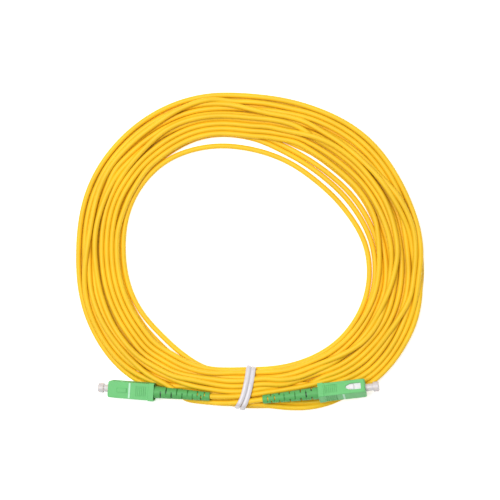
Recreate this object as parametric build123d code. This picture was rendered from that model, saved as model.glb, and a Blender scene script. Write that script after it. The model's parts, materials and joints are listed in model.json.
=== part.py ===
"""Fibre optic patch cord: two angled-polish square push-pull connectors on one long cable.

The cable is wound into a flat oval coil that lies on z = 0, and a wire tie wound twice round
the bundle holds it.  Both connectors lie on the coil beside the tie, one pointing each way.

Row frame: +Z up, origin under the middle of the coil.  Connector frame: +X along the fibre
towards the mating face, x = 0 at the front of the grip housing, +Z out of the keyed wide face.
All sizes are millimetres.
"""
from build123d import *
import math
import os

os.makedirs("parts", exist_ok=True)

# ---------------------------------------------------------------- cable and coil
cable_diameter = 2.8
cable_radius = cable_diameter / 2
coil_height = 6.0
coil_centre = (-0.1, 0.35)
# radii of the coil's outer and inner edge, every 22.5 degrees anticlockwise from +X
coil_outer_radii = [93.4, 89.6, 88.0, 84.9, 84.6, 89.1, 92.5, 94.6,
                    94.2, 96.5, 95.7, 88.2, 84.2, 92.0, 99.8, 98.6]
coil_inner_radii = [61.5, 54.3, 50.2, 50.4, 53.2, 59.0, 65.3, 68.0,
                    67.4, 67.0, 64.7, 63.9, 61.8, 64.5, 66.7, 65.8]

# free stretches of cable from each boot, through the tie and into the coil
lead_a_route = [(-21.0, -77.7, 8.45), (-10.2, -78.0, 8.3), (0.8, -76.8, 7.1),
                (13.0, -74.9, 6.1), (26.0, -72.9, 5.4), (38.0, -70.0, 5.0)]
lead_b_route = [(7.4, -78.95, 9.2), (-4.8, -80.9, 7.8), (-16.8, -81.5, 6.0),
                (-29.5, -80.6, 4.2)]

# ---------------------------------------------------------------- twist tie
tie_centre = (-1.4, -73.4)
tie_slant = 14.3
tie_thickness = 0.9
tie_band_width = 2.5
tie_band_gap = 0.2
tie_wire_size = 0.45
tie_stub_radius = 0.85
tie_stub_length = 9.0
tie_stub_across = 6.5
# inside of one loop: (across the bundle, up)
tie_inside = [(-11.1, tie_thickness), (11.1, tie_thickness), (11.1, 6.4),
              (3.0, 9.2), (-9.1, 9.8), (-11.1, 6.6)]
tie_inside_round = 1.5

# ---------------------------------------------------------------- grip housing
grip_length = 25.0
grip_width = 9.0
grip_height = 7.4
grip_front_round = 1.3
grip_front_chamfer = 0.45
grip_edge_round = 0.5
grip_cavity = (7.2, 5.7)
grip_rear_cavity = (8.2, 6.9)
grip_rear_cavity_start = -21.5
collar_start = -21.9
collar_size = (9.6, 8.0)
collar_edge_round = 0.7
collar_front_chamfer = 0.28
key_span = (-10.2, -4.9)
key_width = 2.2
key_rise = 0.7
key_root = 0.4
key_front_chamfer = 0.5
groove_count = 6
groove_pitch = 1.03
groove_first = -15.6
groove_width = 0.48
groove_depth = 0.38
# grooves on the keyed face and on the plain face
groove_lengths = {1: 5.4, -1: 8.0}
window_span = (-8.0, -2.3)
window_height = 3.6
window_tail = (-10.4, 1.3)
window_corner_round = 0.3
side_panel_height = 4.4
side_panel_depth = 0.5
side_panel_margin = 0.6
side_rib_width = 0.54
side_rib_rise = 0.42

# ---------------------------------------------------------------- plug frame
frame_size = (7.0, 5.5)
frame_span = (-21.0, -0.4)
frame_edge_chamfer = 0.45
frame_front_chamfer = 0.3
front_bore_radius = 2.45
front_bore_end = -6.0
spring_bore_radius = 2.35
spring_bore_front = -6.88
latch_span = (-8.4, -5.8)
latch_reach = 4.25
latch_height = 2.6
latch_depth = 1.6
latch_chamfer = 0.5

# ---------------------------------------------------------------- ferrule and fibre
ferrule_radius = 1.2495
ferrule_span = (-9.0, 1.6)
ferrule_play = 0.25
ferrule_tip_chamfer = 0.35
polish_angle = 8.0
polish_depth = 0.12
fibre_radius = 0.0625
fibre_play = 0.0075
fibre_recess = 0.35
glass_lap = 0.5
buffer_radius = 0.45
buffer_play = 0.05
buffer_end = -31.8
flange_radius = 2.2
flange_span = (-8.9, -6.9)
flange_chamfer = 0.3
flange_notch = (0.8, 0.7)
flange_tail_radius = 1.5
flange_tail_end = -12.5
flange_tail_chamfer = 0.25
spring_wire = 0.45
spring_mean_radius = 1.85
spring_span = (-15.45, -8.95)
spring_turns = 6
spring_gap = 0.01

# ---------------------------------------------------------------- rear body and crimp
rear_body_span = (-29.0, -15.5)
rear_seat_radius = 2.45
rear_ring_end = -22.2
rear_ring_radius = 2.75
rear_neck_end = -23.7
rear_neck_radius = 2.4
rear_barrel_radius = 1.95
rear_barrel_chamfer = 0.3
rear_bore_radius = 0.95
barrel_grooves = (-24.8, -26.0, -27.2, -28.2)
barrel_groove_width = 0.3
barrel_groove_depth = 0.12
guide_tube_span = (-28.5, -13.8)
guide_tube_radii = (0.9, 0.5)
yarn_span = (-28.9, -23.9)
yarn_radii = (2.13, 1.96)
sleeve_span = (-36.0, -23.75)
sleeve_step = -29.0
sleeve_step_width = 0.6
sleeve_front_radii = (2.45, 2.15)
sleeve_step_bore = 1.6
sleeve_rear_radii = (1.9, 1.45)
jacket_start = -33.0

# ---------------------------------------------------------------- strain boot
boot_span = (-55.0, -23.9)
boot_front_radius = 3.3
boot_rear_radius = 2.25
boot_rear_round = 0.35
boot_spigot_step = 0.05
boot_front_bore = 2.5
boot_bore_step = -29.8
boot_middle_bore = 2.0
boot_middle_bore_end = -36.3
boot_rear_bore = 1.475
boot_slot_places = [3.65, 6.55, 9.5, 12.4, 15.35, 18.2, 20.9, 23.5, 25.4, 27.2]
boot_slot_width = 0.65
boot_slot_half_arc = 62.0
boot_slot_turn = 45.0
# between these places the slots stop short of the bore
boot_blind_places = (11.0, 22.0)
boot_blind_wall = 0.3

# ---------------------------------------------------------------- dust cap
cap_head_radius = 2.65
cap_head_span = (2.8, 5.9)
cap_head_chamfers = (0.2, 0.45)
cap_neck_radius = 1.9
cap_neck_start = -4.6
cap_neck_chamfer = 0.15
cap_bore_radius = 1.3
cap_bore_past_tip = 0.3

# ---------------------------------------------------------------- room in the coil
grip_travel = 2.0
connector_gap = 0.4
open_rise = 6.0
channel_gap = 0.3
channel_depth = 8.0
channel_overlap = 1.0
tie_gap = 0.05
# share of the shorter run that a corner's arc takes at each end
arc_share = 0.45

# ---------------------------------------------------------------- where the connectors lie
# name, boot exit (x, y, z), yaw of the front, front down angle, roll, boot turn, cap pulled out by
connectors = {
    "a": dict(exit=lead_a_route[0], yaw=176.1, dip=3.0, roll=0.0, boot_turn=0.0, cap_out=0.0),
    "b": dict(exit=lead_b_route[0], yaw=7.2, dip=-3.0, roll=-116.0, boot_turn=66.0, cap_out=1.1),
}


# ---------------------------------------------------------------- helpers, along the connector's X
def rod(x0, x1, radius):
    return Pos((x0 + x1) / 2, 0, 0) * Rot(0, 90, 0) * Cylinder(radius, abs(x1 - x0))


def pipe(x0, x1, outer, inner):
    return rod(x0, x1, outer) - rod(x0 - 1, x1 + 1, inner)


def taper(x0, x1, r0, r1):
    return Pos((x0 + x1) / 2, 0, 0) * Rot(0, 90, 0) * Cone(r0, r1, x1 - x0)


def bar(x0, x1, width, height, y=0.0, z=0.0):
    return Pos((x0 + x1) / 2, y, z) * Box(x1 - x0, width, height)


def along_x(shape):
    return shape.edges().filter_by(Axis.X)


def seat(exit_point, yaw, dip, roll):
    """Places a connector so that the middle of its boot's rear end is at exit_point."""
    turn = Rot(0, 0, yaw) * Rot(0, dip, 0) * Rot(roll, 0, 0)
    return Pos(*exit_point) * turn * Pos(-boot_span[0], 0, 0)


# ---------------------------------------------------------------- connector pieces
def window_cutter():
    """Through a narrow side: a window drawn out to a blunt point at the rear."""
    half_h = window_height / 2
    half_tail = window_tail[1] / 2
    corners = [(window_span[1], -half_h), (window_span[1], half_h), (window_span[0], half_h),
               (window_tail[0], half_tail), (window_tail[0], -half_tail), (window_span[0], -half_h)]
    outline = fillet(Polygon(*corners, align=None).vertices(), window_corner_round)
    return Rot(90, 0, 0) * extrude(outline, 2, both=True)


def grip_housing():
    """Green outer shell: pulled back by its ribs, it frees the latch."""
    half_w = grip_width / 2
    plan = Rectangle(grip_length + grip_front_round, grip_width)
    plan = fillet(plan.vertices().group_by(Axis.X)[-1], grip_front_round)
    shell = Pos(-(grip_length + grip_front_round) / 2, 0, -grip_height / 2) * extrude(plan, grip_height)
    block = bar(-grip_length, 0, grip_width + 1, grip_height)
    front_edges = block.faces().sort_by(Axis.X)[-1].edges().filter_by(Axis.Y)
    block = chamfer(front_edges, grip_front_chamfer)
    shell = shell & block
    section = Box(grip_length * 2, grip_width, grip_height)
    section = fillet(along_x(section), grip_edge_round)
    shell = shell & section

    collar = bar(-grip_length, collar_start, *collar_size)
    collar = fillet(along_x(collar), collar_edge_round)
    collar = chamfer(collar.faces().sort_by(Axis.X)[-1].edges(), collar_front_chamfer)
    shell += collar

    key_middle = grip_height / 2 + (key_rise - key_root) / 2
    key = bar(*key_span, key_width, key_rise + key_root, z=key_middle)
    key_front = key.faces().sort_by(Axis.Z)[-1].edges().sort_by(Axis.X)[-1]
    key = chamfer(key_front, key_front_chamfer)
    shell += key

    shell -= bar(-grip_length - 1, 1, *grip_cavity)
    shell -= bar(-grip_length - 1, grip_rear_cavity_start, *grip_rear_cavity)

    for index in range(groove_count):
        x = groove_first - index * groove_pitch
        for side in (-1, 1):
            shell -= bar(x - groove_width / 2, x + groove_width / 2, groove_lengths[side],
                         2 * groove_depth, z=side * grip_height / 2)
    panel_front = groove_first + side_panel_margin
    panel_rear = groove_first - groove_pitch * (groove_count - 1) - side_panel_margin
    for side in (-1, 1):
        shell -= bar(panel_rear, panel_front, 2 * side_panel_depth, side_panel_height,
                     y=side * half_w)
        for index in range(groove_count):
            x = groove_first - index * groove_pitch
            shell += bar(x - side_rib_width / 2, x + side_rib_width / 2, side_rib_rise,
                         side_panel_height,
                         y=side * (half_w - side_panel_depth + side_rib_rise / 2))
        shell -= Pos(0, side * half_w, 0) * window_cutter()
    return shell


def plug_frame():
    """White inner housing that the adapter latches on: it holds the ferrule and its spring."""
    frame = bar(*frame_span, *frame_size)
    frame = chamfer(along_x(frame), frame_edge_chamfer)
    frame = chamfer(frame.faces().sort_by(Axis.X)[-1].edges(), frame_front_chamfer)
    for side in (-1, 1):
        latch = bar(*latch_span, latch_depth, latch_height, y=side * (latch_reach - latch_depth / 2))
        front_edges = latch.faces().sort_by(Axis.X)[-1].edges().filter_by(Axis.Z)
        latch = chamfer(front_edges.sort_by(Axis.Y)[-1 if side > 0 else 0], latch_chamfer)
        frame += latch
    frame -= rod(front_bore_end, 1, front_bore_radius)
    frame -= rod(spring_bore_front - 1, front_bore_end + 1, ferrule_radius + ferrule_play)
    frame -= rod(rear_body_span[1], spring_bore_front, spring_bore_radius)
    return frame - rod(frame_span[0] - 1, rear_body_span[1] + 0.01, rear_seat_radius)


def ferrule():
    """Zirconia ferrule with its angled polish and the bore that holds the glass."""
    body = rod(*ferrule_span, ferrule_radius)
    body = chamfer(body.faces().sort_by(Axis.X)[-1].edges(), ferrule_tip_chamfer)
    polish = Pos(ferrule_span[1] - polish_depth, 0, 0) * Rot(0, -polish_angle, 0)
    body -= polish * Pos(2, 0, 0) * Box(4, 6, 6)
    return body - rod(ferrule_span[0] - 1, ferrule_span[1] + 1, fibre_radius + fibre_play)


def ferrule_flange():
    """Metal collar that the ferrule is pressed into; the spring pushes on its rear."""
    collar = rod(*flange_span, flange_radius)
    collar = chamfer(collar.faces().sort_by(Axis.X)[-1].edges(), flange_chamfer)
    for side in (-1, 1):
        collar -= bar(flange_span[0] - 1, flange_span[1] + 1, *flange_notch, y=side * flange_radius)
    tail = rod(flange_tail_end, flange_span[0] + 0.01, flange_tail_radius)
    tail = chamfer(tail.faces().sort_by(Axis.X)[0].edges(), flange_tail_chamfer)
    holder = collar + tail
    holder -= rod(ferrule_span[0], 0, ferrule_radius)
    return holder - rod(flange_tail_end - 1, 0, buffer_radius + buffer_play)


def buffered_fibre():
    """The 0.9 mm buffer, stripped to bare glass where it runs through the ferrule."""
    buffer = rod(buffer_end, ferrule_span[0] - 0.02, buffer_radius)
    glass = rod(ferrule_span[0] - glass_lap, ferrule_span[1] - fibre_recess, fibre_radius)
    return buffer + glass


def ferrule_spring():
    """Compression spring between the flange and the rear body."""
    start = spring_span[0] + spring_wire / 2 + spring_gap
    height = spring_span[1] - spring_span[0] - spring_wire - 2 * spring_gap
    coil_line = Helix(height / spring_turns, height, spring_mean_radius,
                      center=(start, 0, 0), direction=(1, 0, 0))
    section = Plane(coil_line @ 0, z_dir=coil_line % 0) * Circle(spring_wire / 2)
    return sweep(section, path=coil_line, is_frenet=True)


def rear_body():
    """Metal body pressed into the plug frame: spring seat in front, crimp barrel behind."""
    body = rod(frame_span[0], rear_body_span[1], rear_seat_radius)
    body += rod(rear_ring_end, frame_span[0], rear_ring_radius)
    body += rod(rear_neck_end, rear_ring_end, rear_neck_radius)
    barrel = rod(rear_body_span[0], rear_neck_end, rear_barrel_radius)
    body += chamfer(barrel.faces().sort_by(Axis.X)[0].edges(), rear_barrel_chamfer)
    half_groove = barrel_groove_width / 2
    for place in barrel_grooves:
        body -= pipe(place - half_groove, place + half_groove, rear_ring_radius,
                     rear_barrel_radius - barrel_groove_depth)
    return body - rod(rear_body_span[0] - 1, rear_body_span[1] + 1, rear_bore_radius)


def guide_tube():
    """Slippery tube that lets the fibre slide back when the ferrule is pushed in."""
    return pipe(*guide_tube_span, *guide_tube_radii)


def aramid_yarn():
    """The cable's strength yarn, fanned over the barrel and trapped by the sleeve."""
    return pipe(*yarn_span, *yarn_radii)


def crimp_sleeve():
    """Stepped metal sleeve, wide on the barrel and narrow on the cable jacket."""
    step_end = sleeve_step - sleeve_step_width
    front = pipe(sleeve_step, sleeve_span[1], *sleeve_front_radii)
    step = pipe(step_end, sleeve_step, sleeve_front_radii[0], sleeve_step_bore)
    rear = pipe(sleeve_span[0], step_end, *sleeve_rear_radii)
    return front + step + rear


def cable_end():
    """The jacketed cable from the crimp to the rear of the boot."""
    return rod(boot_span[0], jacket_start, cable_radius)


def boot_radius(place):
    """Outer radius of the boot at a distance behind the grip housing."""
    share = place / (-grip_length - boot_span[0])
    return boot_front_radius + (boot_rear_radius - boot_front_radius) * share


def slot_pair(place):
    """Two facing slots at one place: cut straight through, or round and short of the bore."""
    x = -grip_length - place
    reach = boot_radius(place) * math.cos(math.radians(boot_slot_half_arc))
    slot = Box(boot_slot_width, 4, 9)
    pair = Pos(x, reach + 2, 0) * slot + Pos(x, -reach - 2, 0) * slot
    if boot_blind_places[0] < place < boot_blind_places[1]:
        bore = boot_middle_bore if x > boot_middle_bore_end else boot_rear_bore
        pair -= rod(x - boot_slot_width, x + boot_slot_width, bore + boot_blind_wall)
    return pair


def strain_boot(turn):
    """Soft tapered boot: pairs of slots, each pair a quarter turn from the last, let it bend."""
    boot = taper(boot_span[0], -grip_length, boot_rear_radius, boot_front_radius)
    boot += rod(-grip_length - 0.01, boot_span[1], boot_front_radius - boot_spigot_step)
    boot = fillet(boot.faces().sort_by(Axis.X)[0].edges(), boot_rear_round)
    boot -= rod(boot_bore_step, 0, boot_front_bore)
    boot -= rod(boot_middle_bore_end, boot_bore_step + 1, boot_middle_bore)
    boot -= rod(boot_span[0] - 1, boot_middle_bore_end + 1, boot_rear_bore)
    for index, place in enumerate(boot_slot_places):
        boot -= Rot(boot_slot_turn + 90 * (index % 2) + turn, 0, 0) * slot_pair(place)
    return boot


def dust_cap(pulled_out):
    """Soft cap on the ferrule: a neck that goes in over it and a head to pull it by."""
    head = rod(*cap_head_span, cap_head_radius)
    head = chamfer(head.faces().sort_by(Axis.X)[-1].edges(), cap_head_chamfers[1])
    head = chamfer(head.faces().sort_by(Axis.X)[0].edges(), cap_head_chamfers[0])
    neck = rod(cap_neck_start, cap_head_span[0] + 0.01, cap_neck_radius)
    neck = chamfer(neck.faces().sort_by(Axis.X)[0].edges(), cap_neck_chamfer)
    cap = head + neck - rod(cap_neck_start - 1, ferrule_span[1] + cap_bore_past_tip, cap_bore_radius)
    return Pos(pulled_out, 0, 0) * cap


def connector(boot_turn, cap_out):
    """Every piece of one connector, in its own frame."""
    return {
        "grip_housing": grip_housing(),
        "plug_frame": plug_frame(),
        "ferrule": ferrule(),
        "ferrule_flange": ferrule_flange(),
        "buffered_fibre": buffered_fibre(),
        "ferrule_spring": ferrule_spring(),
        "rear_body": rear_body(),
        "guide_tube": guide_tube(),
        "aramid_yarn": aramid_yarn(),
        "crimp_sleeve": crimp_sleeve(),
        "cable_end": cable_end(),
        "strain_boot": strain_boot(boot_turn),
        "dust_cap": dust_cap(cap_out),
    }


def connector_room(roll):
    """Space in the coil for a connector and its moving grip, open upwards where it lies flat."""
    rise = open_rise if roll == 0 else 0
    width = collar_size[0] + 2 * connector_gap
    height = collar_size[1] + 2 * connector_gap + rise
    rear = -grip_length - grip_travel - connector_gap
    room = bar(rear, connector_gap, width, height, z=rise / 2)
    width = 2 * boot_front_radius + connector_gap
    boot_room = bar(boot_span[0] - connector_gap, -grip_length, width, width + rise, z=rise / 2)
    return room + boot_room


# ---------------------------------------------------------------- cable stretches
def corner_radii(route):
    """The largest arc that each corner's two runs allow."""
    radii = []
    for before, corner, after in zip(route, route[1:], route[2:]):
        run_in = Vector(*corner) - Vector(*before)
        run_out = Vector(*after) - Vector(*corner)
        half_turn = math.radians(run_in.get_angle(run_out) / 2)
        radii.append(arc_share * min(run_in.length, run_out.length) / math.tan(half_turn))
    return radii


def cable_stretch(name, route):
    path = FilletPolyline(*route, radius=corner_radii(route))
    tube = sweep(Plane(path @ 0, z_dir=path % 0) * Circle(cable_radius), path=path)
    share = tube.volume / (math.pi * cable_radius ** 2 * path.length)
    print(name, "length", round(path.length, 1), "radii",
          [round(value) for value in corner_radii(route)], "volume share", round(share, 3))
    return tube


def cable_channel(route):
    """Open-topped channel in the coil for a stretch of cable: it ends where the cable ends."""
    width = cable_diameter + 2 * channel_gap
    bottom = -cable_radius - channel_gap
    channel = []
    for start, end in zip(route, route[1:]):
        run = Vector(*end) - Vector(*start)
        overlap = 0 if end == route[-1] else channel_overlap
        place = Plane(origin=start, x_dir=run, z_dir=run.cross(Vector(0, 0, 1)).cross(run))
        middle = (run.length + overlap - channel_overlap) / 2
        block = Box(run.length + overlap + channel_overlap, width, channel_depth)
        channel.append(place * Pos(middle, 0, channel_depth / 2 + bottom) * block)
    return channel


# ---------------------------------------------------------------- coil
def coil_outline(radii):
    step = 360 / len(radii)
    points = []
    for index, radius in enumerate(radii):
        angle = math.radians(index * step)
        points.append((coil_centre[0] + radius * math.cos(angle),
                       coil_centre[1] + radius * math.sin(angle)))
    return make_face(Spline(*points, periodic=True))


def cable_coil(rooms):
    """The wound cable as one solid of the bundle's outer shape."""
    ring = extrude(coil_outline(coil_outer_radii) - coil_outline(coil_inner_radii), coil_height)
    for room in rooms:
        ring -= room
    return ring


# ---------------------------------------------------------------- twist tie
def tie_loop(inset, thickness):
    """Section of one loop, between two distances outside the bundle."""
    line = FilletPolyline(*tie_inside, radius=tie_inside_round, close=True)
    inside = make_face(line)
    inner = offset(inside, inset) if inset else inside
    return offset(inside, inset + thickness) - inner


def tie_place():
    across = (math.sin(math.radians(tie_slant)), math.cos(math.radians(tie_slant)), 0)
    along = (across[1], -across[0], 0)
    return Plane(origin=(*tie_centre, 0), x_dir=across, z_dir=along).location


def tie_pieces():
    """Two turns of coated wire, joined by the twisted ends that lie under the bundle."""
    middle = tie_thickness / 2
    stub = Pos(tie_stub_across, tie_stub_radius, 0) * Cylinder(tie_stub_radius, tie_stub_length)
    core = Pos(tie_stub_across, middle, 0) * Box(tie_wire_size, tie_wire_size, tie_stub_length - 1)
    coating = stub
    wire = core
    for side in (-1, 1):
        centre = side * (tie_band_width + tie_band_gap) / 2
        band = extrude(tie_loop(0, tie_thickness), tie_band_width)
        coating += Pos(0, 0, centre - tie_band_width / 2) * band
        strand = extrude(tie_loop(middle - tie_wire_size / 2, tie_wire_size), tie_wire_size)
        wire += Pos(0, 0, centre - tie_wire_size / 2) * strand
    return tie_place() * (coating - wire), tie_place() * wire


def tie_room():
    """Space that the tie takes out of the coil's solid."""
    width = 2 * tie_band_width + tie_band_gap + 2 * tie_gap
    reach = Box(4 * tie_inside[1][0], 4 * tie_inside[1][0], width)
    bundle = extrude(make_face(FilletPolyline(*tie_inside, radius=tie_inside_round, close=True)), width)
    stub = Cylinder(tie_stub_radius + tie_gap, tie_stub_length + 2 * tie_gap)
    stub = Pos(tie_stub_across, tie_stub_radius, 0) * stub
    return tie_place() * (reach - Pos(0, 0, -width / 2) * bundle + stub)


# ---------------------------------------------------------------- build and write
nodes = {}
rooms = [tie_room()]
for letter, lie in connectors.items():
    place = seat(lie["exit"], lie["yaw"], lie["dip"], lie["roll"])
    rooms.append(place * connector_room(lie["roll"]))
    for piece, shape in connector(lie["boot_turn"], lie["cap_out"]).items():
        nodes[f"{piece}_{letter}"] = place * shape

for letter, route in (("a", lead_a_route), ("b", lead_b_route)):
    tube = cable_stretch(f"cable_lead_{letter}", route)
    nodes[f"cable_lead_{letter}"] = tube - nodes[f"cable_end_{letter}"]
    rooms += cable_channel(route)
nodes["twist_tie_coating"], nodes["twist_tie_wire"] = tie_pieces()
nodes["cable_coil"] = cable_coil(rooms)

for name, shape in nodes.items():
    export_step(shape, f"parts/{name}.step")
box = nodes["cable_coil"].bounding_box()
print("coil box", [round(v, 2) for v in (*box.min, *box.max)])
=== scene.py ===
"""Looks of a coiled fibre optic patch cord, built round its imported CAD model.

Places in the scene are in metres. The coil's layout, the tie's section and each connector's own
places are worked out in millimetres and multiplied by mm.
"""
import json
import math
import bmesh
import bpy
import numpy as np
from mathutils import Matrix, Vector


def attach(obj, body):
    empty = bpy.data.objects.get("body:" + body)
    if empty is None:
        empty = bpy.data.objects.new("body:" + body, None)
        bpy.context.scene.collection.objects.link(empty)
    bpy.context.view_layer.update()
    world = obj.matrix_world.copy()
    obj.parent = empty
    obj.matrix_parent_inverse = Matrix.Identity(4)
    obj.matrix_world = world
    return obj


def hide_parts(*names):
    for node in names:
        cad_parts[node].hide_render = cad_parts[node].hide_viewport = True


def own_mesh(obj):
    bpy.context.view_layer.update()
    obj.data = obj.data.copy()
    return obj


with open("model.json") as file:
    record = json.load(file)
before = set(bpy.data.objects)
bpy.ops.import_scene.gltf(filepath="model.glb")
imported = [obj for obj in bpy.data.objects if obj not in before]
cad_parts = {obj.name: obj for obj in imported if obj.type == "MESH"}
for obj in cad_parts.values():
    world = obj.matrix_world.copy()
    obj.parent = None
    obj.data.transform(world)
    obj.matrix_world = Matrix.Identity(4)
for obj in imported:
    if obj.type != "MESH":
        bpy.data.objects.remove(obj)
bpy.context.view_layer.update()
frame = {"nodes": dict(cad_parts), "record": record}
record = frame["record"]
mm = 0.001
whole_turn = 2 * math.pi

# ---------------------------------------------------------------- the connectors' own places
mount = {m["name"]: m for m in record["mounts"]}
connector_roll = {"a": 0.0, "b": -116.0}
ends = {}
for letter, roll in connector_roll.items():
    forward = Vector(mount[f"plug_face_{letter}"]["axis"]).normalized()
    yaw = math.atan2(forward.y, forward.x)
    dip = math.asin(-forward.z)
    ends[letter] = (Matrix.Translation(Vector(mount[f"plug_face_{letter}"]["pos_m"]))
                    @ Matrix.Rotation(yaw, 4, "Z") @ Matrix.Rotation(dip, 4, "Y")
                    @ Matrix.Rotation(math.radians(roll), 4, "X"))

# ---------------------------------------------------------------- sizes
strand = 2.8
half_strand = strand / 2
cable_diameter = strand * mm
cable_radius = cable_diameter / 2
housing_length = 25.0
housing_half_height = 3.7
boot_length = 30.0
boot_front_radius = 3.3
boot_taper = 1.15

# ---------------------------------------------------------------- camera
camera_distance = 0.75
camera_tilt = math.radians(4.0)
camera_lens = 100.5
target = Vector((0.0, 0.0005, 0.002))
camera_data = bpy.data.cameras.new("camera")
camera_data.lens = camera_lens
camera = bpy.data.objects.new("camera", camera_data)
bpy.context.collection.objects.link(camera)
back = Vector((math.sin(camera_tilt), 0, math.cos(camera_tilt)))
camera.matrix_world = Matrix.LocRotScale(target + back * camera_distance,
                                         Matrix.Rotation(camera_tilt, 3, "Y").to_quaternion(), None)
bpy.context.scene.camera = camera

# ---------------------------------------------------------------- the cord
turns = 19
stations = 48
coil_centre = Vector((-0.1, 0.35)) * mm
tie_angle = math.radians(269.0)
# edges of the coil at sixteen even angles from +X round: outside, innermost strand, other floor
# strands, and the second layer, which leaves two floor strands uncovered on the upper right
outer_radii = [93.4, 89.6, 88.0, 84.9, 84.6, 89.1, 92.5, 94.6,
               94.2, 96.5, 95.7, 88.2, 84.2, 92.0, 99.8, 98.6]
inner_radii = [61.5, 54.3, 50.2, 50.4, 53.2, 59.0, 65.3, 68.0,
               67.4, 67.0, 64.7, 63.9, 61.8, 64.5, 66.7, 65.8]
bundle_radii = [65.0, 58.6, 54.2, 54.6, 59.8, 65.6, 68.2, 70.2,
                70.0, 70.3, 69.4, 67.0, 62.6, 65.4, 68.2, 68.8]
second_radii = [67.9, 66.4, 61.8, 61.3, 60.5, 66.0, 68.5, 70.4,
                70.2, 70.5, 69.6, 67.3, 63.0, 66.0, 69.0, 70.0]
lead_a_route = [(-21.0, -77.7, 8.45), (-10.2, -78.0, 8.3), (0.8, -76.8, 7.1),
                (13.0, -74.9, 6.1), (26.0, -72.9, 5.4), (38.0, -70.0, 5.0)]
lead_b_route = [(7.4, -78.95, 9.2), (-4.8, -80.9, 7.8), (-16.8, -81.5, 6.0),
                (-29.5, -80.6, 4.2)]
lead_a_stations = 5
lead_b_stations = 2
lead_pins = 5
floor_layer = half_strand
second_layer = 3.85
third_layer = 6.3
alone = -1.0
# each turn from connector a on: share of the way from its layer's inside to the outside,
# height of its layer, how far it strays by itself
turn_lanes = [(0.56, second_layer, 1.0), (0.44, second_layer, 0.9), (0.33, second_layer, 0.9),
              (0.22, second_layer, 0.8), (0.11, second_layer, 0.7), (0.00, second_layer, 0.4),
              (alone, floor_layer, 0.0),
              (0.00, floor_layer, 0.3), (0.09, floor_layer, 0.5), (0.18, floor_layer, 0.5),
              (0.30, floor_layer, 0.6), (0.43, floor_layer, 0.6), (0.59, floor_layer, 0.6),
              (0.75, floor_layer, 0.6), (0.93, floor_layer, 0.5),
              (1.00, second_layer, 0.4), (0.89, second_layer, 0.7), (0.78, second_layer, 0.9),
              (0.67, second_layer, 1.0)]
uncovered_share = 0.15
inward_play = 0.6
wave_seed = 11
shared_waves = [(0.9, 2, 1.3), (0.6, 3, 0.4)]      # depth, waves round the coil, start
own_short_wave = 0.6
# strands that pass over their neighbours: turn, shift, middle in degrees, spread in degrees
crossings = [(3, 0.20, 25, 34), (1, 0.18, 200, 30), (16, -0.20, 150, 30), (15, -0.20, -32, 26),
             (2, 0.20, 100, 30), (17, -0.22, 55, 32), (4, 0.18, -18, 26), (0, 0.19, -2, 20)]
crossing_hold = 1.6
crossing_climb = 1.2
# where each pass goes through the tie: (towards the middle of the coil, height)
tie_slots = [(-4.1, 7.7), (-1.35, 7.5), (1.4, 7.45), (4.2, 7.35), (5.55, 5.05), (8.3, 5.05),
             (9.7, 2.3), (6.95, 2.65), (4.2, 2.3), (1.4, 2.65), (-1.4, 2.3), (-4.2, 2.65),
             (-6.95, 2.3), (-9.7, 2.65),
             (-8.3, 5.05), (-5.55, 5.05), (-2.77, 5.05), (0.0, 5.05), (2.77, 5.05), (-7.5, 7.9)]
tie_radius = 73.8
slot_reach = 9.7
tie_blend = 6.5
# room below each connector's axis, half its width seen from above, how far back it counts as housing
connector_room = {"a": (3.85, 4.5, housing_length), "b": (6.0, 5.3, housing_length + 8.0)}
housing_clearance = 1.5
boot_clearance = half_strand + 0.05
# how the turns settle
rounds = 600
free_rounds = 60                   # the last rounds, with no pull towards the guides
straightening = 0.35
hold_to_guide = 0.97
strand_spacing = 2.82              # centres nearer than this push each other apart
push_share = 0.25
seen_spacing = 2.75                # centres further apart than this let the floor show
level_step = 0.3                   # neighbours within this height count as level
step_spacing = 0.25                # nearer by this for each mm of step above that
covered_from = 2.3                 # gaps closer to the inside than this are left open
widest_gap = 4
gap_share = 0.12
tiny = 1e-6


def round_the_coil(values, angle):
    """Smooth value between evenly spaced stations of a closed ring."""
    place = (angle / whole_turn % 1.0) * len(values)
    first = int(place)
    share = place - first
    p = [values[(first + step) % len(values)] for step in (-1, 0, 1, 2)]
    return (p[1] + 0.5 * share * (p[2] - p[0] + share * (2 * p[0] - 5 * p[1] + 4 * p[2] - p[3]
            + share * (3 * (p[1] - p[2]) + p[3] - p[0]))))


def ease(share):
    """Smooth step from 0 to 1."""
    share = min(max(share, 0.0), 1.0)
    return share * share * (3 - 2 * share)


def station_angle(step):
    return tie_angle + whole_turn * step / stations


def polar(point):
    """(angle, radius) of a point in millimetres about the coil's centre."""
    x = point[0] - coil_centre.x / mm
    y = point[1] - coil_centre.y / mm
    return math.atan2(y, x) % whole_turn, math.hypot(x, y)


def edges(angle):
    """Radii of the strands that lie along the outside, the inside, the floor layer and the second."""
    return (round_the_coil(outer_radii, angle) - half_strand,
            round_the_coil(inner_radii, angle) + half_strand,
            round_the_coil(bundle_radii, angle) + half_strand,
            round_the_coil(second_radii, angle) + half_strand)


def lane_radius(turn, angle, start, outer, second, phases):
    """Radius of a turn that starts its lane at one radius, with its share of the coil's waves."""
    share, _, wander = turn_lanes[turn]
    together = share * (1 - share) * 4
    radius = start + share * (outer - start)
    radius += together * sum(depth * math.sin(count * angle + phase)
                             for depth, count, phase in shared_waves)
    radius += wander * (math.sin(2 * angle + phases[0])
                        + own_short_wave * math.sin(4 * angle + phases[1]))
    return max(radius, second) if share > uncovered_share else radius


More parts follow.
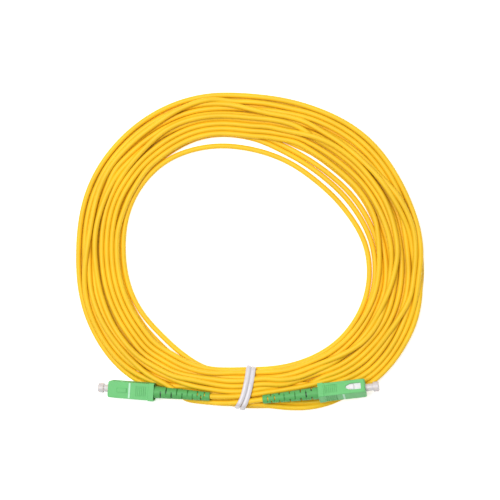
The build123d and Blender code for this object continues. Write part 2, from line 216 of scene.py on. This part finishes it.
def cross_over(turn, angle, radius, height, width):
    """Radius and height of a turn where it climbs over its neighbours."""
    for which, shift, middle, spread in crossings:
        if which == turn:
            away = abs((math.degrees(angle) - middle + 180) % 360 - 180)
            radius += shift * width * ease(crossing_hold - away / spread)
            climb = ease(1.0 - abs(away - spread) / spread * crossing_climb)
            height += (third_layer - height) * climb
    return radius, height


def cord_guides():
    """Where each turn would like to be at each station, in mm: radius, height, least and most radius."""
    dice = np.random.RandomState(wave_seed)
    count = turns * stations + 1
    guides = np.zeros((count, 4))
    phases = dice.uniform(0, whole_turn, (turns, 2))
    outer_at_tie, inner_at_tie, bundle_at_tie, _ = edges(tie_angle)
    for i in range(count):
        turn = min(i // stations, turns - 1)
        step = i - turn * stations
        angle = station_angle(step)
        outer, inner, bundle, second = edges(angle)
        share, height, _ = turn_lanes[turn]
        start = second if height > floor_layer else bundle
        if share == alone:
            radius = inner
            inside_moves = inner - inner_at_tie
        else:
            radius = lane_radius(turn, angle, start, outer, second, phases[turn])
            inside_moves = bundle - bundle_at_tie
        radius, height = cross_over(turn, angle, radius, height, outer - start)
        near_tie = ease(1 - min(step, stations - step) / tie_blend)
        slot_in, slot_up = tie_slots[turn + (1 if step > stations / 2 else 0)]
        out = 0.5 - slot_in / (2 * slot_reach)
        flare = out * (outer - outer_at_tie) + (1 - out) * inside_moves
        radius += (tie_radius - slot_in + flare - radius) * near_tie
        height += (slot_up - height) * near_tie
        least = min(inner, radius) if share == alone else start - inward_play
        guides[i] = (radius, height, least, outer)
    return guides


def connector_obstacles():
    """Where each connector crosses each station: (station, radius, height, room, half width or 0)."""
    found = []
    for letter, (below, half_width, housing_to) in connector_room.items():
        front = ends[letter] @ Vector((0, 0, 0))
        rear = ends[letter] @ Vector((-10 * mm, 0, 0))
        heading = math.atan2(front.y - rear.y, front.x - rear.x)
        for step in range(stations):
            angle = station_angle(step) % whole_turn
            best = None
            # every half millimetre from just in front of the plug to just behind the boot
            for back_mm in np.arange(-1.0, housing_length + boot_length + 1.1, 0.5):
                point = ends[letter] @ Vector((-back_mm * mm, 0, 0))
                here, radius = polar((point.x / mm, point.y / mm))
                miss = abs((here - angle + math.pi) % whole_turn - math.pi)
                if miss < math.radians(1.0) and (best is None or miss < best[0]):
                    best = (miss, back_mm, radius, point.z / mm)
            if best:
                _, back_mm, radius, height = best
                if back_mm > housing_to:
                    boot = boot_front_radius - (back_mm - housing_length) / boot_length * boot_taper
                    found.append((step, radius, height, boot, 0))
                else:
                    reach = half_width / abs(math.sin(heading - angle)) + housing_clearance
                    found.append((step, radius, height, below, reach))
    return found


def route_height(route, angle):
    """(radius, height) of a route where it crosses an angle, or None."""
    for start, end in zip(route, route[1:]):
        first, last = polar(start)[0], polar(end)[0]
        low, high = min(first, last), max(first, last)
        if low <= angle <= high:
            share = (angle - first) / (last - first)
            radius = polar(start)[1] + share * (polar(end)[1] - polar(start)[1])
            return radius, start[2] + share * (end[2] - start[2])
    return None


def pinned_places(guides):
    """Stations that stay put, in the tie and beside the leads: their numbers, radii and heights."""
    count = len(guides)
    pins = {i: (guides[i, 0], guides[i, 1]) for i in range(0, count, stations)}
    for i in list(range(1, lead_pins + 1)) + list(range(count - lead_pins, count)):
        route = lead_a_route if i < stations else lead_b_route
        spot = route_height(route, station_angle(i % stations) % whole_turn)
        if spot:
            pins[i] = spot
    pinned = np.array(sorted(pins))
    return pinned, np.array([pins[i][0] for i in pinned]), np.array([pins[i][1] for i in pinned])


def straighten(line, guide):
    """Draws a line towards its guide and evens out what is left between them."""
    away = line - guide
    away[1:-1] += straightening * (0.5 * (away[:-2] + away[2:]) - away[1:-1])
    line[:] = guide + away * hold_to_guide


def push_apart(grid_r, grid_z):
    """Moves strands that lie in each other apart at every station."""
    apart_r = grid_r[:, None] - grid_r[None]
    apart_z = grid_z[:, None] - grid_z[None]
    distance = np.sqrt(apart_r ** 2 + apart_z ** 2) + tiny
    push = np.clip(strand_spacing - distance, 0, None) * push_share / distance
    push[np.arange(turns + 1), np.arange(turns + 1)] = 0
    grid_r += (push * apart_r).sum(axis=1)
    grid_z += (push * apart_z).sum(axis=1)


def gap_pull(grid_r, grid_z, late):
    """How far each strand should move so that no floor shows beside it, whatever its layer."""
    order = np.argsort(grid_r, axis=0)
    lined = np.take_along_axis(grid_r, order, axis=0)
    heights = np.take_along_axis(grid_z, order, axis=0)
    step_up = np.abs(heights[1:] - heights[:-1])
    gap = lined[1:] - lined[:-1] - seen_spacing + step_spacing * np.clip(step_up - level_step, 0, None)
    angles = [station_angle(step + late) for step in range(stations)]
    covered = np.array([round_the_coil(second_radii, angle) + covered_from for angle in angles])
    pull = np.where((gap > 0) & (gap < widest_gap) & (lined[1:] > covered), gap, 0) * gap_share
    shift = np.zeros_like(lined)
    shift[:-1] += pull
    shift[1:] -= pull
    moves = np.empty_like(grid_r)
    np.put_along_axis(moves, order, shift, axis=0)
    return moves


def close_gaps(grid_r, grid_z):
    """Draws neighbours together at every station and half way to the next one."""
    shape = grid_r.shape
    between_r, between_z = ((line + np.roll(line, -1)).reshape(shape) / 2
                            for line in (grid_r.reshape(-1), grid_z.reshape(-1)))
    late = gap_pull(between_r, between_z, 0.5).reshape(-1)
    return grid_r + gap_pull(grid_r, grid_z, 0.0) + ((late + np.roll(late, 1)) / 2).reshape(shape)


def keep_off(grid_r, grid_z, obstacle):
    """Moves strands out of a boot, or down under a housing, at one station."""
    place, radius, height, size, reach = obstacle
    off_r = grid_r[:, place] - radius
    off_z = grid_z[:, place] - height
    if reach:
        top = max(height - size - half_strand, half_strand)
        lowered = np.minimum(grid_z[:, place], top)
        grid_z[:, place] = np.where(np.abs(off_r) < reach, lowered, grid_z[:, place])
    else:
        gap = np.sqrt(off_r ** 2 + off_z ** 2) + tiny
        out = np.clip(size + boot_clearance - gap, 0, None) / gap
        grid_r[:, place] += out * off_r * 0.5
        grid_z[:, place] += out * off_z * 0.5


def settle(guides):
    """Lets the turns push each other apart until none lies in another, on the floor or above it."""
    count = len(guides)
    spare = stations * (turns + 1) - count
    far = np.arange(spare) * 50.0 + 1000
    r, z = guides[:, 0].copy(), guides[:, 1].copy()
    pinned, pin_r, pin_z = pinned_places(guides)
    obstacles = connector_obstacles()
    for step in range(rounds):
        if step < rounds - free_rounds:
            straighten(r, guides[:, 0])
            straighten(z, guides[:, 1])
        grid_r = np.concatenate([r, far]).reshape(turns + 1, stations)
        grid_z = np.concatenate([z, far]).reshape(turns + 1, stations)
        push_apart(grid_r, grid_z)
        grid_r = close_gaps(grid_r, grid_z)
        for obstacle in obstacles:
            keep_off(grid_r, grid_z, obstacle)
        r = np.clip(grid_r.reshape(-1)[:count], guides[:, 2], guides[:, 3])
        z = np.maximum(grid_z.reshape(-1)[:count], floor_layer)
        r[pinned] = pin_r
        z[pinned] = pin_z
    return r, z


def cord_points():
    """Control points of the whole cord, from one boot to the other."""
    r, z = settle(cord_guides())
    points = [Vector(p) * mm for p in lead_a_route]
    for i in range(lead_a_stations, turns * stations - lead_b_stations):
        angle = station_angle(i)
        points.append(Vector((coil_centre.x + r[i] * mm * math.cos(angle),
                              coil_centre.y + r[i] * mm * math.sin(angle), z[i] * mm)))
    return points + [Vector(p) * mm for p in reversed(lead_b_route)]


def make_cord():
    """The whole cord as one spline; each point carries the cable's radius."""
    points = cord_points()
    curve = bpy.data.curves.new("cord", "CURVE")
    curve.dimensions = "3D"
    spline = curve.splines.new("NURBS")
    spline.points.add(len(points) - 1)
    for spot, point in zip(spline.points, points):
        spot.co = (*point, 1.0)
        spot.radius = cable_radius
    spline.order_u = 3
    spline.use_endpoint_u = True
    spline.resolution_u = 4
    curve.bevel_depth = 1.0
    curve.bevel_resolution = 3
    cord = bpy.data.objects.new("cord", curve)
    bpy.context.collection.objects.link(cord)
    return cord


cord = make_cord()


# ---------------------------------------------------------------- materials
def moulded(name, colour, roughness=0.4, coat=0.0, soft=0.0, mottle=0.04, mottle_scale=180.0,
            grain=0.05, grain_scale=2600.0, metallic=0.0, clear=0.0, shine=0.5):
    """Moulded plastic, rubber or metal: slightly uneven colour, a fine grain and uneven gloss."""
    material = bpy.data.materials.new(name)
    material.use_nodes = True
    tree = material.node_tree
    shader = tree.nodes["Principled BSDF"]
    place = tree.nodes.new("ShaderNodeTexCoord")

    def noise(scale, detail):
        node = tree.nodes.new("ShaderNodeTexNoise")
        node.inputs["Scale"].default_value = scale
        node.inputs["Detail"].default_value = detail
        tree.links.new(place.outputs["Object"], node.inputs["Vector"])
        return node

    def ramp(source, low, high):
        node = tree.nodes.new("ShaderNodeValToRGB")
        node.color_ramp.elements[0].position = 0.3
        node.color_ramp.elements[1].position = 0.7
        node.color_ramp.elements[0].color = (*low, 1)
        node.color_ramp.elements[1].color = (*high, 1)
        tree.links.new(source.outputs["Fac"], node.inputs["Fac"])
        return node

    blotches = noise(mottle_scale, 3)
    dark = [channel * (1 - mottle) for channel in colour]
    light = [min(channel * (1 + mottle), 1.0) for channel in colour]
    tree.links.new(ramp(blotches, dark, light).outputs["Color"], shader.inputs["Base Color"])
    fine = noise(grain_scale, 2)
    gloss = ramp(fine, (roughness * 0.85,) * 3, (min(roughness * 1.15, 1.0),) * 3)
    tree.links.new(gloss.outputs["Color"], shader.inputs["Roughness"])
    bump = tree.nodes.new("ShaderNodeBump")
    bump.inputs["Strength"].default_value = grain
    bump.inputs["Distance"].default_value = 0.0001
    tree.links.new(fine.outputs["Fac"], bump.inputs["Height"])
    tree.links.new(bump.outputs["Normal"], shader.inputs["Normal"])
    shader.inputs["Metallic"].default_value = metallic
    shader.inputs["Specular IOR Level"].default_value = shine
    shader.inputs["Coat Weight"].default_value = coat
    shader.inputs["Coat Roughness"].default_value = 0.25
    shader.inputs["Transmission Weight"].default_value = clear
    if soft:
        shader.inputs["Subsurface Weight"].default_value = soft
        shader.inputs["Subsurface Radius"].default_value = (1.0, 0.8, 0.6)
        shader.inputs["Subsurface Scale"].default_value = 0.001
    return material


finish = {
    "cable_jacket": moulded("jacket yellow", (0.92, 0.56, 0.018), 0.5, mottle=0.06,
                            mottle_scale=60, grain=0.12, grain_scale=1500, shine=0.3),
    "housing_green": moulded("housing green", (0.17, 0.555, 0.20), 0.5, soft=0.1, mottle=0.03,
                             shine=0.18),
    "boot_green": moulded("boot green", (0.105, 0.41, 0.115), 0.5, mottle=0.05, grain=0.1,
                          shine=0.25),
    "frame_white": moulded("plug frame white", (0.80, 0.78, 0.80), 0.33, 0.2, soft=0.2, mottle=0.02),
    "zirconia": moulded("zirconia", (0.86, 0.84, 0.78), 0.12, 0.3, soft=0.2, mottle=0.01, grain=0.01),
    "nickel": moulded("nickel", (0.62, 0.60, 0.55), 0.25, mottle=0.05, metallic=1.0),
    "spring_steel": moulded("spring steel", (0.55, 0.55, 0.56), 0.3, mottle=0.08, metallic=1.0),
    # crimp sleeve: a real dark metal part, but its near-black colour is also painted shade so the boot's
    # slots read dark
    "crimp_metal": moulded("crimp metal with painted slot shade", (0.075, 0.075, 0.08), 0.45, mottle=0.1, metallic=0.6),
    "aramid": moulded("aramid yarn", (0.72, 0.52, 0.10), 0.7, mottle=0.25, mottle_scale=2500, grain=0.5),
    "buffer_white": moulded("buffer white", (0.82, 0.82, 0.78), 0.4, mottle=0.02),
    "guide_tube": moulded("guide tube", (0.75, 0.75, 0.78), 0.3, clear=0.2, mottle=0.02),
    "cap_plastic": moulded("dust cap", (0.66, 0.62, 0.62), 0.4, 0.1, soft=0.5, mottle=0.03),
    "tie_plastic": moulded("tie plastic", (0.66, 0.63, 0.66), 0.36, 0.2, soft=0.1, mottle=0.03,
                           mottle_scale=400, grain=0.1),
    "tie_wire": moulded("tie wire", (0.40, 0.36, 0.33), 0.45, mottle=0.15, metallic=1.0),
}


def dress(piece, slot_name):
    """Gives a piece the material of its slot and no other."""
    piece.data.materials.clear()
    piece.data.materials.append(finish[slot_name])


# ---------------------------------------------------------------- CAD nodes that stay as they are
slot_of = {part["node"]: part["material_slot"] for part in record["subparts"]}
softened = {"grip_housing": 0.14, "plug_frame": 0.1, "strain_boot": 0.1, "dust_cap": 0.12}
for name, node in frame["nodes"].items():
    dress(node, slot_of[name])
    width = softened.get(name[:-2])
    if width:
        bevel = node.modifiers.new("soft edges", "BEVEL")
        bevel.width = width * mm
        bevel.segments = 2
        bevel.limit_method = "ANGLE"
        bevel.angle_limit = math.radians(40)

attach(cord, "cord")
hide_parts("cable_coil", "cable_lead_a", "cable_lead_b")
dress(cord, "cable_jacket")


# ---------------------------------------------------------------- twist tie
tie_centre = (-1.4, -73.4)
tie_slant = math.radians(14.3)
tie_thickness = 0.9
tie_band_width = 2.5
tie_band_gap = 0.12
tie_inside = [(-11.1, tie_thickness), (11.1, tie_thickness), (11.1, 6.4),
              (3.0, 9.2), (-9.1, 9.8), (-11.1, 6.6)]
tie_corner_radius = 1.5
tie_corner_steps = 6
tie_ring_spacing = 1.0
tie_ripple = 0.03
tie_ripple_pace = 1.7
tie_bow = 0.5
tie_bow_bend = 0.007
tie_bow_centre = -1
tie_splay = 0.012
tie_splay_difference = 0.003
tie_splay_from = -3
coating_tail_radius = 0.42
wire_tail_radius = 0.16
tie_place = Matrix.Translation(Vector((*tie_centre, 0)) * mm) @ Matrix((
    (math.sin(tie_slant), 0, math.cos(tie_slant), 0),
    (math.cos(tie_slant), 0, -math.sin(tie_slant), 0),
    (0, 1, 0, 0), (0, 0, 0, 1)))


def rounded(corners, radius, steps, spacing):
    """Closed outline, its corners rounded by arcs and its runs divided, as (point, outward normal)."""
    outline = []
    for before, corner, after in zip(corners[-1:] + corners, corners, corners[1:] + corners[:1]):
        corner = Vector(corner)
        into = (corner - Vector(before)).normalized()
        out = (Vector(after) - corner).normalized()
        half = into.angle(out) / 2
        setback = radius * math.tan(half)
        first = Vector((into.y, -into.x))
        last = Vector((out.y, -out.x))
        middle = corner - into * setback - first * radius
        for step in range(steps + 1):
            share = step / steps
            normal = (first * (1 - share) + last * share).normalized()
            outline.append((middle + normal * radius, normal))
    divided = []
    for (here, normal), (there, _) in zip(outline, outline[1:] + outline[:1]):
        pieces = max(1, round((there - here).length / spacing))
        divided += [(here.lerp(there, step / pieces), normal) for step in range(pieces)]
    return divided


def skin(mesh, rings, closed=False):
    """Faces between each ring of vertices and the next, with flat ends unless the rings close."""
    following = rings[1:] + rings[:1] if closed else rings[1:]
    for ring, after in zip(rings, following):
        for k in range(len(ring)):
            m = (k + 1) % len(ring)
            mesh.faces.new((ring[k], ring[m], after[m], after[k]))
    if not closed:
        mesh.faces.new(rings[0])
        mesh.faces.new(rings[-1])


def smooth_piece(mesh, name):
    """Object made from finished rings, smooth shaded."""
    bmesh.ops.recalc_face_normals(mesh, faces=mesh.faces)
    data = bpy.data.meshes.new(name)
    mesh.to_mesh(data)
    mesh.free()
    for face in data.polygons:
        face.use_smooth = True
    piece = bpy.data.objects.new(name, data)
    bpy.context.collection.objects.link(piece)
    return piece


def add_tail(mesh, size):
    """The two ends, twisted round each other and folded flat under the bundle."""
    length = 9.0
    twists = 3.0
    steps = 60
    sides = 8
    away_from_middle = 6.5
    height = 0.44
    spread = 0.42
    rise = 0.02
    for end in (0, 1):
        rings = []
        for step in range(steps + 1):
            share = step / steps
            angle = whole_turn * twists * share + math.pi * end
            middle = Vector((away_from_middle + spread * math.cos(angle),
                             height + rise * math.sin(angle), (share - 0.5) * length))
            ring = []
            for side in range(sides):
                around = whole_turn * side / sides
                spot = middle + Vector((math.cos(around) * size, math.sin(around) * size, 0))
                ring.append(mesh.verts.new(tie_place @ (spot * mm)))
            rings.append(ring)
        skin(mesh, rings)


def make_tie(name, section, tail_radius, slot_name, node):
    """Two turns of one section round the bundle, bowed a little as hand-wound wire is."""
    outline = rounded(tie_inside, tie_corner_radius, tie_corner_steps, tie_ring_spacing)
    mesh = bmesh.new()
    for side in (-1, 1):
        centre = side * (tie_band_width + tie_band_gap) / 2
        rings = []
        for index, (point, normal) in enumerate(outline):
            ripple = tie_ripple * math.sin(index * tie_ripple_pace + side)
            ring = []
            for across, rise in section:
                spot = point + normal * (rise * (1 + ripple))
                bow = tie_bow - tie_bow_bend * (spot.x - tie_bow_centre) ** 2
                splay = ((tie_splay - tie_splay_difference * side)
                         * min(0, spot.x - tie_splay_from) ** 2)
                along = centre + across * tie_band_width / 2 + bow - splay
                ring.append(mesh.verts.new(tie_place @ (Vector((spot.x, spot.y, along)) * mm)))
            rings.append(ring)
        skin(mesh, rings, closed=True)
    add_tail(mesh, tail_radius)
    tie = smooth_piece(mesh, name)
    smooth = tie.modifiers.new("round", "SUBSURF")
    smooth.levels = smooth.render_levels = 1
    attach(tie, "cord")
    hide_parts(node)
    dress(tie, slot_name)


# sections as (share of half the band's width, height above the bundle)
coating_section = [(-1.0, 0.04), (-0.5, 0.0), (0.0, 0.0), (0.5, 0.0), (1.0, 0.04), (1.06, 0.4),
                   (0.98, 0.7), (0.6, 0.86), (0.25, 0.93), (0.0, 0.94), (-0.25, 0.93), (-0.6, 0.86),
                   (-0.98, 0.7), (-1.06, 0.4)]
wire_section = [(-0.17, 0.25), (0.17, 0.25), (0.17, 0.68), (-0.17, 0.68)]
make_tie("twist_tie", coating_section, coating_tail_radius, "tie_plastic", "twist_tie_coating")
make_tie("tie_wire_core", wire_section, wire_tail_radius, "tie_wire", "twist_tie_wire")


# ---------------------------------------------------------------- painted index lines on the grips
mark_place = -11.8
mark_width = 0.95
mark_length = 8.1
hidden_mark_length = 6.2           # connector a's face towards the bundle
mark_thickness = 0.03 * mm
mark_paint = moulded("index paint", (0.46, 0.76, 0.54), 0.5, mottle=0.06, mottle_scale=900)


def make_mark(letter, side):
    """Pale index line across one wide face of a grip housing."""
    long = hidden_mark_length if (letter, side) == ("a", -1) else mark_length
    mesh = bmesh.new()
    bmesh.ops.create_grid(mesh, x_segments=2, y_segments=12, size=0.5)
    for vertex in mesh.verts:
        x = mark_place + vertex.co.x * mark_width
        y = vertex.co.y * long
        vertex.co = ends[letter] @ (Vector((x, y, side * housing_half_height)) * mm)
    face_out = (ends[letter].to_3x3() @ Vector((0, 0, side))).normalized()
    solid = bmesh.ops.extrude_face_region(mesh, geom=mesh.faces[:])
    for item in solid["geom"]:
        if isinstance(item, bmesh.types.BMVert):
            item.co += face_out * mark_thickness
    bmesh.ops.recalc_face_normals(mesh, faces=mesh.faces)
    data = bpy.data.meshes.new(f"index_mark_{letter}")
    mesh.to_mesh(data)
    mesh.free()
    name = f"index_mark_{letter}_{'key' if side > 0 else 'plain'}_side"
    mark = bpy.data.objects.new(name, data)
    bpy.context.collection.objects.link(mark)
    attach(mark, f"grip_{letter}")
    data.materials.append(mark_paint)


for letter in "ab":
    for side in (-1, 1):
        make_mark(letter, side)

# ---------------------------------------------------------------- springs, each a fixed wire helix
spring_rear = -15.45
spring_front = -8.95
spring_length = spring_front - spring_rear
spring_wire = 0.45
spring_mean_radius = 1.85
spring_turns = 7
spring_steps = 24 * spring_turns
spring_sides = 8
spring_end_room = 0.01
closed_share = 0.02
even_pitch = 0.75


def make_spring(letter):
    """Wire helix whose end turns lie closer together, in its connector's own place."""
    mesh = bmesh.new()
    start = spring_rear + spring_wire / 2 + spring_end_room
    travel = spring_length - spring_wire - 2 * spring_end_room
    rings = []
    for step in range(spring_steps + 1):
        share = step / spring_steps
        eased = ease((share - closed_share) / (1 - 2 * closed_share))
        along = start + travel * eased * (1 - even_pitch) + travel * share * even_pitch
        angle = whole_turn * spring_turns * share
        out = Vector((0, math.cos(angle), math.sin(angle)))
        ring = []
        for side in range(spring_sides):
            round_angle = whole_turn * side / spring_sides
            spot = (Vector((along, 0, 0)) + out * spring_mean_radius
                    + (out * math.cos(round_angle) + Vector((math.sin(round_angle), 0, 0)))
                    * spring_wire / 2)
            ring.append(mesh.verts.new(ends[letter] @ (spot * mm)))
        rings.append(ring)
    skin(mesh, rings)
    spring = smooth_piece(mesh, f"spring_wire_{letter}")
    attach(spring, "cord")
    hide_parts(f"ferrule_spring_{letter}")
    dress(spring, "spring_steel")
    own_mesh(spring)


for letter in "ab":
    make_spring(letter)

# ---------------------------------------------------------------- floor and light
floor_reach = 2.0
floor_glow = 0.5
world_light = 0.30
floor_mesh = bpy.data.meshes.new("floor")
floor_corners = [(-floor_reach, -floor_reach, 0), (floor_reach, -floor_reach, 0),
                 (floor_reach, floor_reach, 0), (-floor_reach, floor_reach, 0)]
floor_mesh.from_pydata(floor_corners, [], [(0, 1, 2, 3)])
floor = bpy.data.objects.new("floor", floor_mesh)
bpy.context.collection.objects.link(floor)
sweep = moulded("floor", (0.88, 0.88, 0.88), 0.9, mottle=0.0)
sweep_shader = sweep.node_tree.nodes["Principled BSDF"]
sweep_shader.inputs["Emission Color"].default_value = (1, 1, 1, 1)
sweep_shader.inputs["Emission Strength"].default_value = floor_glow
floor_mesh.materials.append(sweep)

world = bpy.data.worlds.new("studio")
bpy.context.scene.world = world
world.use_nodes = True
world.node_tree.nodes["Background"].inputs["Color"].default_value = (1, 1, 1, 1)
world.node_tree.nodes["Background"].inputs["Strength"].default_value = world_light


def softbox(name, place, size, power):
    """Round soft light that faces the origin."""
    data = bpy.data.lights.new(name, "AREA")
    data.shape = "DISK"
    data.size = size
    data.energy = power
    light = bpy.data.objects.new(name, data)
    bpy.context.collection.objects.link(light)
    light.location = place
    light.rotation_mode = "QUATERNION"
    light.rotation_quaternion = Vector(place).to_track_quat("Z", "Y")


softbox("key", (-0.36, 0.12, 1.25), 0.7, 11)
softbox("top", (0.15, 0.55, 1.2), 0.9, 5.6)
bpy.context.scene.view_settings.view_transform = "Standard"
bpy.context.scene.view_settings.look = "None"
